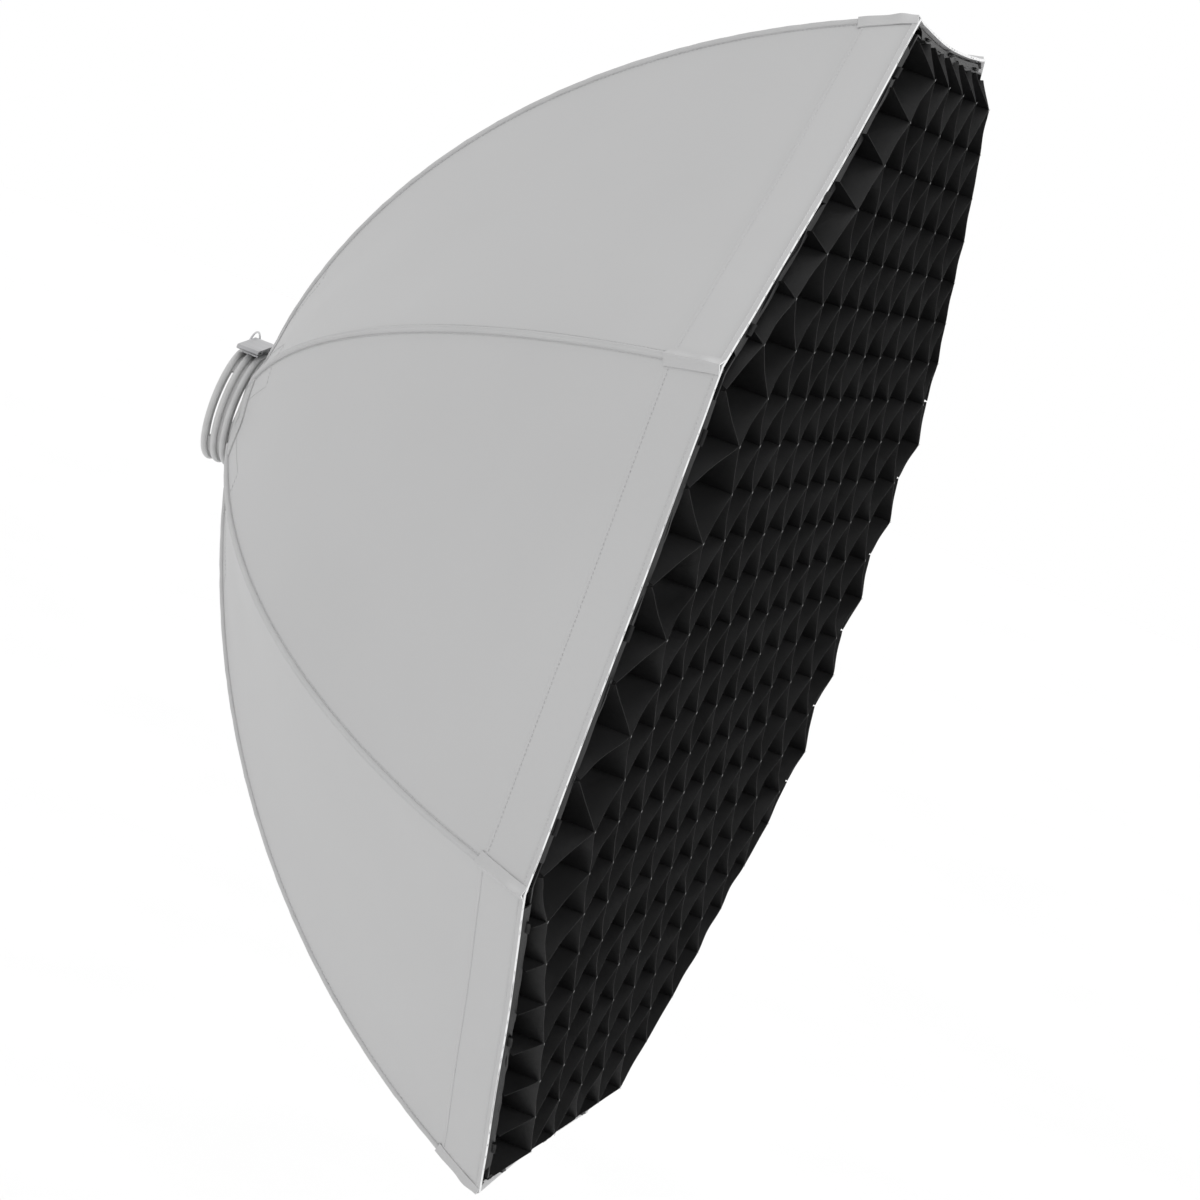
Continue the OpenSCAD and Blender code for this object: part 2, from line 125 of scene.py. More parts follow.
# ---- Shell ------------------------------------------------------------------------------------------
# Eight gores of coated grey polyester with a silver lining, sewn edge to edge into one sheet. The
# bowed rods stretch it tight, so it sags inwards a little between them and its lip bows in.
step = math.radians(45)
flat_share = math.cos(step / 2)
bow_centre = (-0.2201, -0.8734)
bow_radius = 0.888
rear_r, cuff_r, front_r = 0.078, 0.108, 0.600
lip_y = -0.533
stitch_y = -0.485
cloth_t = 0.0016
gores = range(8)
belly = np.array([5.0, 4.5, 4.0, 5.0, 3.5, 6.0, 5.5, 5.0]) / 1000
lip_bow = np.array([6.0, 7.0, 7.5, 11.0, 5.0, 4.0, 6.0, 7.0]) / 1000
full_top, full_turn = 0.0130, math.radians(105)
phases = np.random.default_rng(5).uniform(0, 2 * math.pi, (8, 6))


def bow_y(rod_r):
    """How far along the axis the outside of the cloth is, where the rods are this far from the axis."""
    return bow_centre[1] + np.sqrt(bow_radius ** 2 - (rod_r - bow_centre[0]) ** 2)


def bow_r(y):
    return bow_centre[0] + np.sqrt(bow_radius ** 2 - (y - bow_centre[1]) ** 2)


def stand_out(turn, rod_r):
    """How far the upper cloth stands out from its rods."""
    upwards = np.clip(np.cos(turn - full_turn), 0, 1) ** 2
    return full_top * upwards * np.sin(math.pi * np.clip((rod_r - rear_r) / (front_r - rear_r), 0, 1) ** 0.8)


def on_cloth(gore, across, rod_r, lift=0.0):
    """Places on the outside of the sewn shell. Gore 0 is on the +X side and they count towards +Z;
    across runs from -1 to 1 between its two rods, and lift is outwards."""
    gore, across, rod_r = np.broadcast_arrays(gore, across, rod_r)
    y = bow_y(rod_r)
    flat = rod_r * flat_share
    along = (rod_r - rear_r) / (front_r - rear_r)
    slope = (rod_r - bow_centre[0]) / (y - bow_centre[1])
    size = np.sqrt(slope ** 2 + flat_share ** 2)
    out_r, out_y = slope / size, flat_share / size
    tight = 1 - across ** 2
    lip_pull = lip_bow[gore] * tight * np.clip((along - 0.6) / 0.4, 0, 1) ** 2
    slack = belly[gore] * tight * np.sin(math.pi * np.clip(along, 0, 1) ** 0.9)
    waves = 0.0006 * tight * (
        np.sin(5.2 * across + 7.5 * along + phases[gore, 0])
        + np.sin(9 * along - 3.4 * across + phases[gore, 1]))
    pulls = 0.0012 * np.exp(-((1 - np.abs(across)) / 0.22) ** 2) * (1 - np.abs(across)) * 4 * (
        np.sin(46 * along + 10 * np.abs(across) + phases[gore, 2]) * np.clip(along * 1.6 - 0.6, 0, 1))
    hem = 0.0007 * (y < stitch_y - 0.001)
    turn = gore * step
    fuller = stand_out(turn + np.arctan(across * math.tan(step / 2)), rod_r)
    raise_by = lift + hem - slack + waves + pulls + fuller
    radial = flat - lip_pull + raise_by * out_r
    sideways = (flat + fuller * out_r) * math.tan(step / 2) * across
    return np.stack([radial * np.cos(turn) - sideways * np.sin(turn), y + raise_by * out_y,
                     radial * np.sin(turn) + sideways * np.cos(turn)], -1)


def use(*pieces):
    """Makes these the only pieces selected, and the first of them the active one."""
    bpy.ops.object.select_all(action="DESELECT")
    for piece in pieces:
        piece.select_set(True)
    bpy.context.view_layer.objects.active = pieces[0]


def points_of(piece):
    found = np.empty(len(piece.data.vertices) * 3)
    piece.data.vertices.foreach_get("co", found)
    return found.reshape(-1, 3)


def move_points(piece, places):
    piece.data.vertices.foreach_set("co", np.asarray(places, np.float32).ravel())
    piece.data.update()


def settle(piece, name):
    """Names a piece and puts its place into its mesh."""
    use(piece)
    bpy.ops.object.transform_apply(location=True, rotation=True, scale=True)
    piece.name = piece.data.name = name
    return piece


def place_in_scene(name, made):
    piece = bpy.data.objects.new(name, made)
    bpy.context.scene.collection.objects.link(piece)
    return piece


def square_patch(name, columns, rows):
    """A flat square of cloth two metres wide, with this many faces each way, to be given its shape."""
    bpy.ops.object.select_all(action="DESELECT")
    bpy.ops.mesh.primitive_grid_add(x_subdivisions=columns, y_subdivisions=rows, size=2)
    return settle(bpy.context.object, name)


def row_number(flat, last_row):
    """Which row each point is in, where even rows run from y = -1 to y = 1."""
    return np.rint((flat[:, 1] + 1) / 2 * last_row).astype(int)


def join_up(pieces, name):
    use(*pieces)
    bpy.ops.object.join()
    return settle(bpy.context.object, name)


def edit(piece):
    use(piece)
    bpy.ops.object.mode_set(mode="EDIT")
    bpy.ops.mesh.select_mode(type="VERT")
    bpy.ops.mesh.select_all(action="SELECT")


def pick_edges(piece, test):
    """In edit mode, selects the edges whose two ends pass the test."""
    bpy.ops.mesh.select_mode(type="EDGE")
    bpy.ops.mesh.select_all(action="DESELECT")
    bpy.ops.object.mode_set(mode="OBJECT")
    corners = [v.co for v in piece.data.vertices]
    for edge in piece.data.edges:
        edge.select = test(corners[edge.vertices[0]], corners[edge.vertices[1]])
    bpy.ops.object.mode_set(mode="EDIT")


def thicken(piece, thickness, offset=-1.0, inner=0, rim=0):
    """Gives a cloth its thickness, inwards from its outside face."""
    use(piece)
    wall = piece.modifiers.new("wall", "SOLIDIFY")
    wall.thickness, wall.offset = thickness, offset
    wall.material_offset, wall.material_offset_rim = inner, rim
    bpy.ops.object.modifier_apply(modifier="wall")


def smooth(piece, angle=30):
    use(piece)
    bpy.ops.object.shade_smooth_by_angle(angle=math.radians(angle))


def map_cloth(piece, places):
    """Writes the cloth's own map, in metres, from one (u, v) for each vertex."""
    corners = np.empty(len(piece.data.loops), int)
    piece.data.loops.foreach_get("vertex_index", corners)
    layer = piece.data.uv_layers.active or piece.data.uv_layers.new(name="cloth")
    layer.data.foreach_set("uv", np.asarray(places, np.float32)[corners].ravel())


def woven(name, low, high, roughness, yarn=0.0009, weave=0.12, crinkle=0.0, patch=5.0):
    """Cloth: plain weave and crinkles in the bump, and a tone that drifts slightly over the sheet."""
    made = bpy.data.materials.new(name)
    made.use_nodes = True
    nodes, join = made.node_tree.nodes, made.node_tree.links.new
    shader = nodes["Principled BSDF"]
    place = nodes.new("ShaderNodeTexCoord")
    drift = nodes.new("ShaderNodeTexNoise")
    drift.inputs["Scale"].default_value = patch
    drift.inputs["Detail"].default_value = 6
    join(place.outputs["Object"], drift.inputs["Vector"])
    tone = nodes.new("ShaderNodeValToRGB")
    tone.color_ramp.elements[0].position, tone.color_ramp.elements[1].position = 0.3, 0.7
    tone.color_ramp.elements[0].color, tone.color_ramp.elements[1].color = (*low, 1), (*high, 1)
    join(drift.outputs["Fac"], tone.inputs["Fac"])
    join(tone.outputs["Color"], shader.inputs["Base Color"])
    gloss = nodes.new("ShaderNodeMapRange")
    gloss.inputs["To Min"].default_value, gloss.inputs["To Max"].default_value = roughness
    join(drift.outputs["Fac"], gloss.inputs["Value"])
    join(gloss.outputs["Result"], shader.inputs["Roughness"])
    yarns = []
    for direction in ("X", "Y"):
        yarn_row = nodes.new("ShaderNodeTexWave")
        yarn_row.bands_direction = direction
        yarn_row.inputs["Scale"].default_value = math.pi / 10 / yarn
        yarn_row.inputs["Distortion"].default_value = 0.6
        yarn_row.inputs["Detail Scale"].default_value = 0.4
        join(place.outputs["UV"], yarn_row.inputs["Vector"])
        yarns.append(yarn_row)
    over_under = nodes.new("ShaderNodeMath")
    over_under.operation = "MULTIPLY"
    join(yarns[0].outputs["Fac"], over_under.inputs[0])
    join(yarns[1].outputs["Fac"], over_under.inputs[1])
    threads = nodes.new("ShaderNodeBump")
    threads.inputs["Strength"].default_value = weave
    threads.inputs["Distance"].default_value = yarn / 3
    join(over_under.outputs["Value"], threads.inputs["Height"])
    if crinkle:
        folds = nodes.new("ShaderNodeTexNoise")
        folds.inputs["Scale"].default_value = 26
        folds.inputs["Detail"].default_value = 4
        folds.inputs["Distortion"].default_value = 1.2
        join(place.outputs["Object"], folds.inputs["Vector"])
        creased = nodes.new("ShaderNodeBump")
        creased.inputs["Strength"].default_value = crinkle
        creased.inputs["Distance"].default_value = 0.004
        join(folds.outputs["Fac"], creased.inputs["Height"])
        join(creased.outputs["Normal"], threads.inputs["Normal"])
    join(threads.outputs["Normal"], shader.inputs["Normal"])
    return made


bpy.ops.object.select_all(action="DESELECT")
bpy.ops.mesh.primitive_circle_add(vertices=480, radius=bow_radius, location=(*bow_centre, 0))
shell = settle(bpy.context.object, "shell")
edit(shell)
bpy.ops.mesh.bisect(plane_co=(rear_r, 0, 0), plane_no=(1, 0, 0), clear_inner=True)
bpy.ops.mesh.select_all(action="SELECT")
bpy.ops.mesh.bisect(plane_co=(0, lip_y, 0), plane_no=(0, 1, 0), clear_inner=True)
for cut_y in (stitch_y, stitch_y - 0.0018, lip_y + 0.006):
    bpy.ops.mesh.select_all(action="SELECT")
    bpy.ops.mesh.bisect(plane_co=(0, cut_y, 0), plane_no=(0, 1, 0))
bpy.ops.object.mode_set(mode="OBJECT")
shell.data.transform(Matrix.Rotation(-step / 2, 4, "Y"))
edit(shell)
bpy.ops.mesh.spin(steps=8, angle=2 * math.pi, center=(0, 0, 0), axis=(0, 1, 0))
bpy.ops.mesh.select_all(action="SELECT")
bpy.ops.mesh.remove_doubles(threshold=0.0002)
pick_edges(shell, lambda a, b: abs(a.y - b.y) < 1e-5)
bpy.ops.mesh.subdivide(number_cuts=23)
bpy.ops.mesh.select_all(action="SELECT")
bpy.ops.mesh.normals_make_consistent(inside=False)
bpy.ops.object.mode_set(mode="OBJECT")
flat_places = points_of(shell)
angle = np.arctan2(flat_places[:, 2], flat_places[:, 0])
number = np.round(angle / step).astype(int)
within = angle - number * step
flat_r = np.hypot(flat_places[:, 0], flat_places[:, 2]) * np.cos(within)
shell_gore, shell_across = number % 8, np.clip(np.tan(within) / math.tan(step / 2), -1, 1)
shell_rod_r = np.clip(flat_r / flat_share, rear_r, front_r)
move_points(shell, on_cloth(shell_gore, shell_across, shell_rod_r))
arc_length = bow_radius * (np.arcsin((shell_rod_r - bow_centre[0]) / bow_radius)
                           - math.asin((rear_r - bow_centre[0]) / bow_radius))
map_cloth(shell, np.stack([flat_r * np.tan(within), arc_length], -1))
coated_polyester = woven("coated_polyester", (0.466, 0.466, 0.468), (0.482, 0.482, 0.484), (0.5, 0.62),
                         weave=0.1, crinkle=0.05)
silver_lining = woven("silver_lining", (0.62, 0.62, 0.63), (0.74, 0.74, 0.75), (0.3, 0.42), crinkle=0.5,
                      patch=14)
silver_lining.node_tree.nodes["Principled BSDF"].inputs["Metallic"].default_value = 0.8
shell.data.materials.append(coated_polyester)
shell.data.materials.append(silver_lining)


def strip_of_shell(name, low_y, high_y, lift, thickness, offset):
    """A band of cloth cut from the sewn shell between two places along the axis, and sewn over it."""
    piece = shell.copy()
    piece.data = shell.data.copy()
    bpy.context.scene.collection.objects.link(piece)
    settle(piece, name)
    edit(piece)
    for y, side in ((low_y, 1), (high_y, -1)):
        bpy.ops.mesh.select_all(action="SELECT")
        bpy.ops.mesh.bisect(plane_co=(0, y, 0), plane_no=(0, side, 0), clear_inner=True)
    bpy.ops.object.mode_set(mode="OBJECT")
    if lift:
        normals = np.empty(len(piece.data.vertices) * 3)
        piece.data.vertices.foreach_get("normal", normals)
        move_points(piece, points_of(piece) + lift * normals.reshape(-1, 3))
    piece.data.materials.clear()
    thicken(piece, thickness, offset)
    smooth(piece)
    return piece


# The lip's edge binding and the rear cuff are cut from the same shell, so they lie on it everywhere.
lip_binding = strip_of_shell("lip_edge_binding", lip_y - 0.02, lip_y + 0.0055, 0.0, 0.0026, -0.6)
rear_cuff = strip_of_shell("rear_cuff_patch", bow_y(cuff_r), 0.0, 0.0012, 0.0011, -1.0)
thicken(shell, cloth_t, inner=1)
smooth(shell, 12)
binding_tape = woven("binding_tape", (0.460, 0.460, 0.462), (0.490, 0.490, 0.492), (0.55, 0.68),
                     yarn=0.0007, weave=0.3, patch=12)
lip_binding.data.materials.append(binding_tape)
rear_cuff.data.materials.append(coated_polyester)


def fit(piece, body, slot, *nodes):
    """The piece moves with a body and stands for these CAD nodes, which are hidden. The slot is not used."""
    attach(piece, body)
    if nodes:
        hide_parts(*nodes)
    return piece


fit(shell, "softbox", "shell_fabric", *[f"shell_panel_{k}" for k in range(1, 9)])
fit(lip_binding, "softbox", "trim_fabric", "lip_binding")
fit(rear_cuff, "softbox", "shell_fabric", "rear_cuff")

# ---- Rod sleeves and tip pockets --------------------------------------------------------------------
# The seam's turned edges are felled into a narrow double ridge, the sleeve that the rod runs in. It ends
# at the hem, where a stouter folded patch takes over as the pocket that holds the rod's tip.
seam_turns = [Matrix.Rotation(-(k + 0.5) * step, 4, "Y") for k in gores]
rear_bow, stitch_bow, lip_bow_angle = [
    math.acos((r - bow_centre[0]) / bow_radius) for r in (rear_r + 0.002, float(bow_r(stitch_y)), front_r)]
sleeve_half, sleeve_rise, sleeve_sink = 0.0033, 0.0030, 0.0012
crease_deep, crease_half = 0.0009, 0.0007
bpy.ops.object.select_all(action="DESELECT")
bpy.ops.mesh.primitive_circle_add(vertices=28, radius=1, rotation=(math.pi / 2, 0, 0))
tape_tube = settle(bpy.context.object, "tape_tube")
ring = points_of(tape_tube)
ring[:, 2] = np.sign(ring[:, 2]) * np.abs(ring[:, 2]) ** 0.8 * sleeve_half
crease = crease_deep * np.exp(-(ring[:, 2] / crease_half) ** 2)
ring[:, 0] = np.where(ring[:, 0] > 0, ring[:, 0] * sleeve_rise - crease, ring[:, 0] * sleeve_sink)
ring[:, 0] += bow_radius
move_points(tape_tube, ring)
centre = Matrix.Translation((*bow_centre, 0))
tape_tube.data.transform(centre @ Matrix.Rotation(stitch_bow, 4, "Z"))
edit(tape_tube)
bpy.ops.mesh.spin(steps=72, angle=stitch_bow - rear_bow, center=(*bow_centre, 0), axis=(0, 0, 1))
bpy.ops.mesh.select_all(action="SELECT")
bpy.ops.mesh.remove_doubles(threshold=0.00002)
bpy.ops.mesh.fill_holes(sides=0)
bpy.ops.mesh.select_all(action="SELECT")
bpy.ops.mesh.normals_make_consistent(inside=False)
bpy.ops.object.mode_set(mode="OBJECT")
tube_places = points_of(tape_tube)
bow_turn = np.arctan2(tube_places[:, 1] - bow_centre[1], tube_places[:, 0] - bow_centre[0])
map_cloth(tape_tube, np.stack([tube_places[:, 2], bow_turn * bow_radius], -1))
spread = np.sin(bow_turn * 210) * np.sin(bow_turn * 57)
radial = np.stack([np.cos(bow_turn), np.sin(bow_turn), 0 * bow_turn], -1)
fall = np.abs(tube_places[:, 2]) * math.tan(step / 2) * np.cos(bow_turn)
move_points(tape_tube, tube_places + radial * (0.00022 * spread - fall)[:, None])

pocket = square_patch("pocket", 22, 16)
patch_places = points_of(pocket)
run, wide = (patch_places[:, 0] + 1) / 2, patch_places[:, 1]
pocket_start, pocket_end = stitch_bow + 0.004, lip_bow_angle + 0.0015
pocket_turn = pocket_start + (pocket_end - pocket_start) * run
pocket_half = 0.0088 - 0.0016 * run
hump_h, hump_half = 0.0034, 0.0036
rod_hump = hump_h * np.exp(-(wide * pocket_half / hump_half) ** 2) * (1 - 0.35 * run)
tip_bulge = 0.0018 * np.exp(-((run - 0.72) / 0.16) ** 2) * np.exp(-(wide * pocket_half / 0.006) ** 2)
fall = np.abs(wide) * pocket_half * math.tan(step / 2) * np.cos(pocket_turn)
height = bow_radius + 0.0010 + 0.0005 * np.clip(run * 6, 0, 1) + rod_hump + tip_bulge - fall
move_points(pocket, np.stack([bow_centre[0] + height * np.cos(pocket_turn),
                              bow_centre[1] + height * np.sin(pocket_turn), wide * pocket_half], -1))
map_cloth(pocket, np.stack([wide * pocket_half, run * 0.05], -1))
edit(pocket)
bpy.ops.mesh.normals_make_consistent(inside=False)
bpy.ops.object.mode_set(mode="OBJECT")
if sum(f.normal.x for f in pocket.data.polygons) < 0:
    pocket.data.flip_normals()
thicken(pocket, 0.0011)

sleeves, pockets = [], []
for k, turn in enumerate(seam_turns, 1):
    for pattern, made, name in ((tape_tube, sleeves, f"rod_sleeve_{k}"),
                                (pocket, pockets, f"tip_pocket_{k}")):
        piece = place_in_scene(name, pattern.data.copy())
        piece.data.name = name
        places = points_of(piece)
        bow_turn = np.arctan2(places[:, 1] - bow_centre[1], places[:, 0] - bow_centre[0])
        out = stand_out((k - 0.5) * step, bow_centre[0] + bow_radius * np.cos(bow_turn))
        size = np.hypot(1 / np.tan(bow_turn), flat_share)
        places[:, 0] += out / np.tan(bow_turn) / size / flat_share
        places[:, 1] += out * flat_share / size
        move_points(piece, places)
        piece.data.transform(turn)
        piece.data.materials.append(binding_tape)
        smooth(piece, 50)
        made.append(piece)
    fit(sleeves[-1], "softbox", "trim_fabric", f"seam_sleeve_{k}")
    fit(pockets[-1], "softbox", "trim_fabric", *(["tip_pockets"] if k == 1 else []))
for pattern in (tape_tube, pocket):
    bpy.data.objects.remove(pattern)

# ---- Stitching --------------------------------------------------------------------------------------
# Lockstitch in grey polyester thread: two rows along each sleeve, one round the hem behind the lip,
# one round the binding, one round the cuff, and one round the patch under each sleeve's rear end.
bpy.ops.object.select_all(action="DESELECT")
bpy.ops.mesh.primitive_ico_sphere_add(subdivisions=1, radius=1)
stitch = settle(bpy.context.object, "stitch")
stitch_half_size = (0.0017, 0.00030, 0.00022)
move_points(stitch, points_of(stitch) * stitch_half_size)
stitch_points = points_of(stitch)
stitch_faces = np.array([tuple(f.vertices) for f in stitch.data.polygons])
bpy.data.objects.remove(stitch)


def sew(name, rows, material, body, slot):
    """Lays one stitch after another along rows of (place, direction, outwards)."""
    place, forward, out = (np.concatenate([row[i] for row in rows]) for i in range(3))
    forward = forward / np.linalg.norm(forward, axis=1, keepdims=True)
    side = np.cross(out, forward)
    side /= np.linalg.norm(side, axis=1, keepdims=True)
    out = np.cross(forward, side)
    axes = np.stack([forward, side, out], 1)
    points = place[:, None, :] + np.einsum("pj,njc->npc", stitch_points, axes)
    faces = stitch_faces[None] + (np.arange(len(place)) * len(stitch_points))[:, None, None]
    made = bpy.data.meshes.new(name)
    made.from_pydata(points.reshape(-1, 3).tolist(), [], faces.reshape(-1, 3).tolist())
    piece = place_in_scene(name, made)
    made.materials.append(material)
    smooth(piece, 60)
    fit(piece, body, slot)
    return piece


def seam_row(gore, across, rod_r, lift, pitch=0.0042):
    """Stitches at an even pitch along a line on the shell, given as many points of it."""
    line = on_cloth(gore, across, rod_r, lift)
    above = on_cloth(gore, across, rod_r, lift + 0.001)
    length = np.concatenate([[0], np.cumsum(np.linalg.norm(np.diff(line, axis=0), axis=1))])
    at = np.arange(pitch, length[-1] - pitch / 2, pitch)
    place, higher = ([np.interp(at, length, row[:, i]) for i in range(3)] for row in (line, above))
    place, higher = np.stack(place, -1), np.stack(higher, -1)
    ahead = np.stack([np.interp(at + pitch / 8, length, line[:, i]) for i in range(3)], -1)
    return place, ahead - place, higher - place


thread = mottled("grey_thread", (0.44, 0.44, 0.442), (0.51, 0.51, 0.512), (0.5, 0.65), patch=400, grain=4000)
stitch_to_seam, patch_half_w = 0.0046, 0.024
on_cloth_lift, on_binding_lift, on_cuff_lift = 0.0003, 0.0006, 0.0014
short_of_seam, short_of_sleeve = 0.985, 0.96
spread_across = np.linspace(-1, 1, 140)
sleeve_run = np.linspace(rear_r + 0.004, float(bow_r(stitch_y)), 240)
patch_run = np.linspace(cuff_r, 0.172, 60)
hem_r, binding_r = float(bow_r(stitch_y - 0.0035)), float(bow_r(lip_y + 0.0045))
hem_rows, sleeve_rows = [], []
for g in gores:
    hem_rows.append(seam_row(g, spread_across * short_of_seam, hem_r, on_cloth_lift))
    hem_rows.append(seam_row(g, spread_across * short_of_seam, binding_r, on_binding_lift))
    hem_rows.append(seam_row(g, spread_across * short_of_sleeve, cuff_r - 0.0025, on_cuff_lift))
    for side in (-1, 1):
        inset = 1 - stitch_to_seam / (sleeve_run * math.sin(step / 2))
        sleeve_rows.append(seam_row(g, side * inset, sleeve_run, on_cloth_lift))
        patch_inset = 1 - patch_half_w / (patch_run * math.sin(step / 2))
        hem_rows.append(seam_row(g, side * patch_inset, patch_run, on_cloth_lift))
        across_patch = side * np.linspace(patch_inset[-1], short_of_seam, 30)
        hem_rows.append(seam_row(g, across_patch, float(patch_run[-1]), on_cloth_lift))
hem_stitches = sew("hem_stitches", hem_rows, thread, "softbox", "trim_fabric")
sleeve_stitches = sew("sleeve_stitches", sleeve_rows, thread, "softbox", "trim_fabric")

# ---- Loop tape --------------------------------------------------------------------------------------
# Black loop tape sewn flat inside the lip, one length to each gore. The grid's hook flaps press on it.
fuzzy_tape = mottled("fuzzy_tape", (0.012, 0.012, 0.012), (0.03, 0.03, 0.03), (0.8, 0.95), patch=500,
                     grain=2400, bump=0.7)


def inside_bands(name, profile, reach, columns, thickness):
    """Eight bands along the inside of the lip. The profile is rows of (y, lift from the outside)."""
    made = []
    for g in gores:
        band = square_patch(f"{name}_{g}", columns, len(profile) - 1)
        flat = points_of(band)
        row = row_number(flat, len(profile) - 1)
        y, lift = np.array(profile)[row].T
        wavy = 0.0005 * np.sin(flat[:, 0] * 23 + 3 * g) * (row == 0)
        move_points(band, on_cloth(g, flat[:, 0] * reach, bow_r(y), lift + wavy))
        map_cloth(band, np.stack([flat[:, 0] * 0.2, y], -1))
        made.append(band)
    piece = join_up(made, name)
    thicken(piece, thickness, 0)
    smooth(piece)
    return piece


loop_profile = [(-0.5275, -0.0026), (-0.516, -0.0026), (-0.503, -0.0026)]
loop_tape = inside_bands("lip_loop_tape", loop_profile, reach=0.93, columns=24, thickness=0.0009)
loop_tape.data.materials.append(fuzzy_tape)
fit(loop_tape, "softbox", "hook_and_loop", "loop_tape")

# ---- Diffusers --------------------------------------------------------------------------------------
# The front diffuser is one octagon of matt white cloth edged with tape; the baffle half way in is a
# smaller one, hung from the rods by eight short elastics. Both are stretched, with faint puckers.
white_cloth = woven("white_cloth", (0.80, 0.80, 0.79), (0.86, 0.86, 0.85), (0.85, 0.95), yarn=0.0006,
                    weave=0.25, crinkle=0.25, patch=9)


def far_out(x, z):
    """How far from the axis the flats are of the octagon whose edge runs through these places."""
    return np.max([x * math.cos(k * step) + z * math.sin(k * step) for k in gores], 0)


def octagon_cloth(name, flat_r, y, thickness, bulge):
    """An octagon of cloth with its corners pulled tight. Its middle stands forward by the bulge."""
    bpy.ops.object.select_all(action="DESELECT")
    bpy.ops.mesh.primitive_grid_add(x_subdivisions=64, y_subdivisions=64, size=2 * flat_r,
                                    rotation=(math.pi / 2, 0, 0), location=(0, y, 0))
    cloth = settle(bpy.context.object, name)
    edit(cloth)
    for k in (1, 3, 5, 7):
        out = (math.cos(k * step), 0, math.sin(k * step))
        bpy.ops.mesh.select_all(action="SELECT")
        bpy.ops.mesh.bisect(plane_co=[c * flat_r for c in out], plane_no=out, clear_outer=True)
    bpy.ops.object.mode_set(mode="OBJECT")
    flat = points_of(cloth)
    turn = np.arctan2(flat[:, 2], flat[:, 0])
    far = far_out(flat[:, 0], flat[:, 2]) / flat_r
    pucker = np.sin(turn * 8 * 7) * np.clip(far - 0.75, 0, 1) * 0.003
    flat[:, 1] += -bulge * (1 - far ** 2) + pucker * np.cos(turn * 4) ** 2
    move_points(cloth, flat)
    map_cloth(cloth, flat[:, [0, 2]])
    thicken(cloth, thickness, 0)
    smooth(cloth)
    cloth.data.materials.append(white_cloth)
    return cloth


diffuser_flat_r, baffle_flat_r = 0.52, 0.31
diffuser_t, diffuser_belly = 0.0008, 0.004
front_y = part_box("front_diffuser")[0].y + 0.0005
front_diffuser = octagon_cloth("front_diffuser_cloth", diffuser_flat_r, front_y, diffuser_t, -diffuser_belly)
fit(front_diffuser, "softbox", "diffuser_fabric", "front_diffuser")
baffle_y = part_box("inner_baffle")[0].y + 0.0005
inner_baffle = octagon_cloth("baffle_cloth", baffle_flat_r, baffle_y, diffuser_t, diffuser_belly)
fit(inner_baffle, "softbox", "diffuser_fabric", "inner_baffle")


def octagon_band(name, flat_r, width, y, thickness, material):
    """A flat tape that runs round an octagon's edge, mitred at its corners."""
    bpy.ops.object.select_all(action="DESELECT")
    bpy.ops.mesh.primitive_circle_add(vertices=8, radius=flat_r / flat_share, fill_type="NGON",
                                      rotation=(math.pi / 2, step / 2, 0), location=(0, y, 0))
    band = settle(bpy.context.object, name)
    edit(band)
    bpy.ops.mesh.select_mode(type="FACE")
    bpy.ops.mesh.inset(thickness=width, depth=0)
    bpy.ops.mesh.delete(type="FACE")
    pick_edges(band, lambda a, b: abs(a.length - b.length) < 0.002)
    bpy.ops.mesh.subdivide(number_cuts=11)
    bpy.ops.object.mode_set(mode="OBJECT")
    flat = points_of(band)
    flat[:, 1] += 0.0004 * np.sin(flat[:, 0] * 60) * np.cos(flat[:, 2] * 47)
    move_points(band, flat)
    map_cloth(band, flat[:, [0, 2]])
    thicken(band, thickness, 0)
    smooth(band)
    band.data.materials.append(material)
    return band


edge_tape = octagon_band("diffuser_edge_tape", diffuser_flat_r, width=0.022, y=front_y + 0.0016,
                         thickness=0.0012, material=fuzzy_tape)
fit(edge_tape, "softbox", "hook_and_loop", "diffuser_tape")

ribbed_elastic = woven("ribbed_elastic", (0.016, 0.016, 0.016), (0.03, 0.03, 0.03), (0.7, 0.85), yarn=0.0011,
                       weave=0.9, patch=60)
corner_r = baffle_flat_r / flat_share
strap_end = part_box("baffle_straps")[1].x / flat_share
strap_w, strap_t, sewn_on = 0.012, 0.0012, 0.012
bpy.ops.object.select_all(action="DESELECT")
bpy.ops.mesh.primitive_cube_add(size=1, location=((corner_r - sewn_on + strap_end) / 2, baffle_y + 0.0002, 0),
                                scale=(strap_end - corner_r + sewn_on, strap_t, strap_w))
strap = settle(bpy.context.object, "strap")
edit(strap)
bpy.ops.mesh.bevel(offset=0.0004, segments=2)
pick_edges(strap, lambda a, b: abs(a.x - b.x) > 0.02)
bpy.ops.mesh.subdivide(number_cuts=24)
bpy.ops.object.mode_set(mode="OBJECT")
flat = points_of(strap)
flat[:, 2] *= 1 - 0.12 * np.sin(math.pi * np.clip((flat[:, 0] - corner_r) / (strap_end - corner_r), 0, 1))
move_points(strap, flat)
map_cloth(strap, flat[:, [0, 2]])
straps = []
for turn in seam_turns:
    piece = place_in_scene("strap_copy", strap.data.copy())
    piece.data.transform(turn)
    straps.append(piece)
baffle_elastics = join_up(straps, "baffle_elastics")
bpy.data.objects.remove(strap)
baffle_elastics.data.materials.append(ribbed_elastic)
smooth(baffle_elastics, 40)
fit(baffle_elastics, "softbox", "elastic", "baffle_straps")

